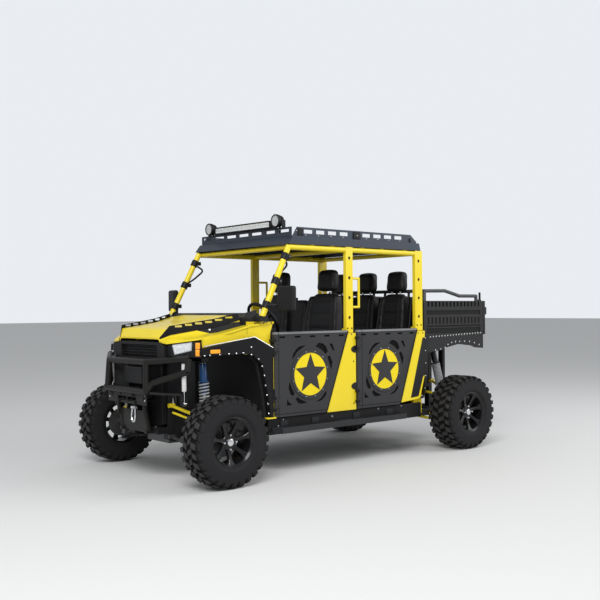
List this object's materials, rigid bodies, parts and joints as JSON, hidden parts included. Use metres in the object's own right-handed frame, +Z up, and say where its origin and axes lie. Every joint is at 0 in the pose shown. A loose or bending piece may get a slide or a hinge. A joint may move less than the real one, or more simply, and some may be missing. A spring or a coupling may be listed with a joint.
{
  "type": "crew side by side utv",
  "caption": "Crew side by side utility vehicle with open cage, half doors, roof rack, light bar and tipping cargo bed.",
  "frame": {"origin": "ground point under the middle of the overall length, on the centre plane", "axes": "+X forwards, +Y to the vehicle's left, +Z up"},
  "size_m": [3.819, 1.914, 2.1743],
  "materials": {
    "black_plastic": "grained black plastic",
    "black_steel": "satin black powder coat",
    "bronze_steel": "satin dark bronze powder coat",
    "cast_metal": "dark cast metal",
    "charcoal_plate": "matt charcoal powder coat",
    "grey_steel": "grey springs and shafts",
    "lamp_plastic": "clear lens over chrome reflectors",
    "rim_black": "gloss black alloy",
    "seat_vinyl": "black vinyl",
    "slate_steel": "satin slate grey-blue powder coat",
    "tyre_rubber": "black rubber",
    "yellow_paint": "gloss bright yellow enamel"
  },
  "bodies": {
    "chassis": {"cage_cross": "yellow_paint", "cage_left": "yellow_paint", "cage_right": "yellow_paint", "dashboard": "black_plastic", "door_hinges": "black_steel", "engine_block": "cast_metal", "floor_tub": "black_plastic", "frame_rails": "black_steel", "front_arms": "yellow_paint", "front_bumper": "bronze_steel", "front_cowl": "yellow_paint", "front_fascia": "black_plastic", "front_flares": "charcoal_plate", "front_liners": "black_plastic", "front_seats": "seat_vinyl", "grab_handles": "yellow_paint", "half_shafts": "grey_steel", "headlamps": "lamp_plastic", "hitch_receiver": "black_steel", "mirrors": "black_plastic", "radiator": "cast_metal", "rear_arms": "yellow_paint", "rear_knuckles": "cast_metal", "rear_seats": "seat_vinyl", "roof_lights": "black_steel", "roof_pan": "slate_steel", "roof_rails": "slate_steel", "shocks": "grey_steel", "side_panels": "yellow_paint", "side_steps": "black_steel", "splash_panels": "black_plastic", "winch": "black_steel"},
    "hood": {"hood": "yellow_paint", "hood_rails": "black_steel"},
    "cargo_bed": {"cargo_bed": "black_steel"},
    "tailgate": {"tailgate": "black_steel"},
    "steering_wheel": {"steering_wheel": "black_plastic"},
    "knuckle_left": {"knuckle_left": "cast_metal"},
    "knuckle_right": {"knuckle_right": "cast_metal"},
    "door_front_left": {"door_front_left": "charcoal_plate"},
    "wheel_front_left": {"tyre_front_left": "tyre_rubber", "rim_front_left": "rim_black"},
    "door_front_right": {"door_front_right": "charcoal_plate"},
    "wheel_front_right": {"tyre_front_right": "tyre_rubber", "rim_front_right": "rim_black"},
    "door_rear_left": {"door_rear_left": "charcoal_plate"},
    "wheel_rear_left": {"tyre_rear_left": "tyre_rubber", "rim_rear_left": "rim_black"},
    "door_rear_right": {"door_rear_right": "charcoal_plate"},
    "wheel_rear_right": {"tyre_rear_right": "tyre_rubber", "rim_rear_right": "rim_black"}
  },
  "joints": [
    {"name": "steer_left", "type": "hinge", "parent": "chassis", "child": "knuckle_left", "pos_m": [1.4995, 0.738, 0.356], "axis": [0, 0, 1], "range_deg": [-30, 30]},
    {"name": "steer_right", "type": "hinge", "parent": "chassis", "child": "knuckle_right", "pos_m": [1.4995, -0.738, 0.356], "axis": [0, 0, 1], "range_deg": [-30, 30]},
    {"name": "roll_front_left", "type": "hinge", "parent": "knuckle_left", "child": "wheel_front_left", "pos_m": [1.4995, 0.8395, 0.356], "axis": [0, 1, 0], "continuous": true},
    {"name": "roll_front_right", "type": "hinge", "parent": "knuckle_right", "child": "wheel_front_right", "pos_m": [1.4995, -0.8395, 0.356], "axis": [0, 1, 0], "continuous": true},
    {"name": "roll_rear_left", "type": "hinge", "parent": "chassis", "child": "wheel_rear_left", "pos_m": [-1.3305, 0.8195, 0.356], "axis": [0, 1, 0], "continuous": true},
    {"name": "roll_rear_right", "type": "hinge", "parent": "chassis", "child": "wheel_rear_right", "pos_m": [-1.3305, -0.8195, 0.356], "axis": [0, 1, 0], "continuous": true},
    {"name": "steering_wheel_turn", "type": "hinge", "parent": "chassis", "child": "steering_wheel", "pos_m": [0.7645, 0.345, 1.262], "axis": [-0.8202, 0, 0.5721], "range_deg": [-310, 310]},
    {"name": "door_front_left_swing", "type": "hinge", "parent": "chassis", "child": "door_front_left", "pos_m": [0.9215, 0.734, 0.825], "axis": [0, 0, -1], "range_deg": [0, 70]},
    {"name": "door_front_right_swing", "type": "hinge", "parent": "chassis", "child": "door_front_right", "pos_m": [0.9215, -0.734, 0.825], "axis": [0, 0, 1], "range_deg": [0, 70]},
    {"name": "door_rear_left_swing", "type": "hinge", "parent": "chassis", "child": "door_rear_left", "pos_m": [-0.01886, 0.734, 0.825], "axis": [0, 0, -1], "range_deg": [0, 70]},
    {"name": "door_rear_right_swing", "type": "hinge", "parent": "chassis", "child": "door_rear_right", "pos_m": [-0.01886, -0.734, 0.825], "axis": [0, 0, 1], "range_deg": [0, 70]},
    {"name": "hood_lift", "type": "hinge", "parent": "chassis", "child": "hood", "pos_m": [1.1395, 0, 1.28], "axis": [0, -1, 0], "range_deg": [0, 50]},
    {"name": "bed_tip", "type": "hinge", "parent": "chassis", "child": "cargo_bed", "pos_m": [-1.6955, 0, 1.03], "axis": [0, -1, 0], "range_deg": [0, 45]},
    {"name": "tailgate_drop", "type": "hinge", "parent": "cargo_bed", "child": "tailgate", "pos_m": [-1.8795, 0, 1.082], "axis": [0, -1, 0], "range_deg": [0, 90]}
  ],
  "couplings": [
    {"joint": "steer_right", "follows": "steer_left", "ratio": 1},
    {"joint": "steering_wheel_turn", "follows": "steer_left", "ratio": 10}
  ]
}
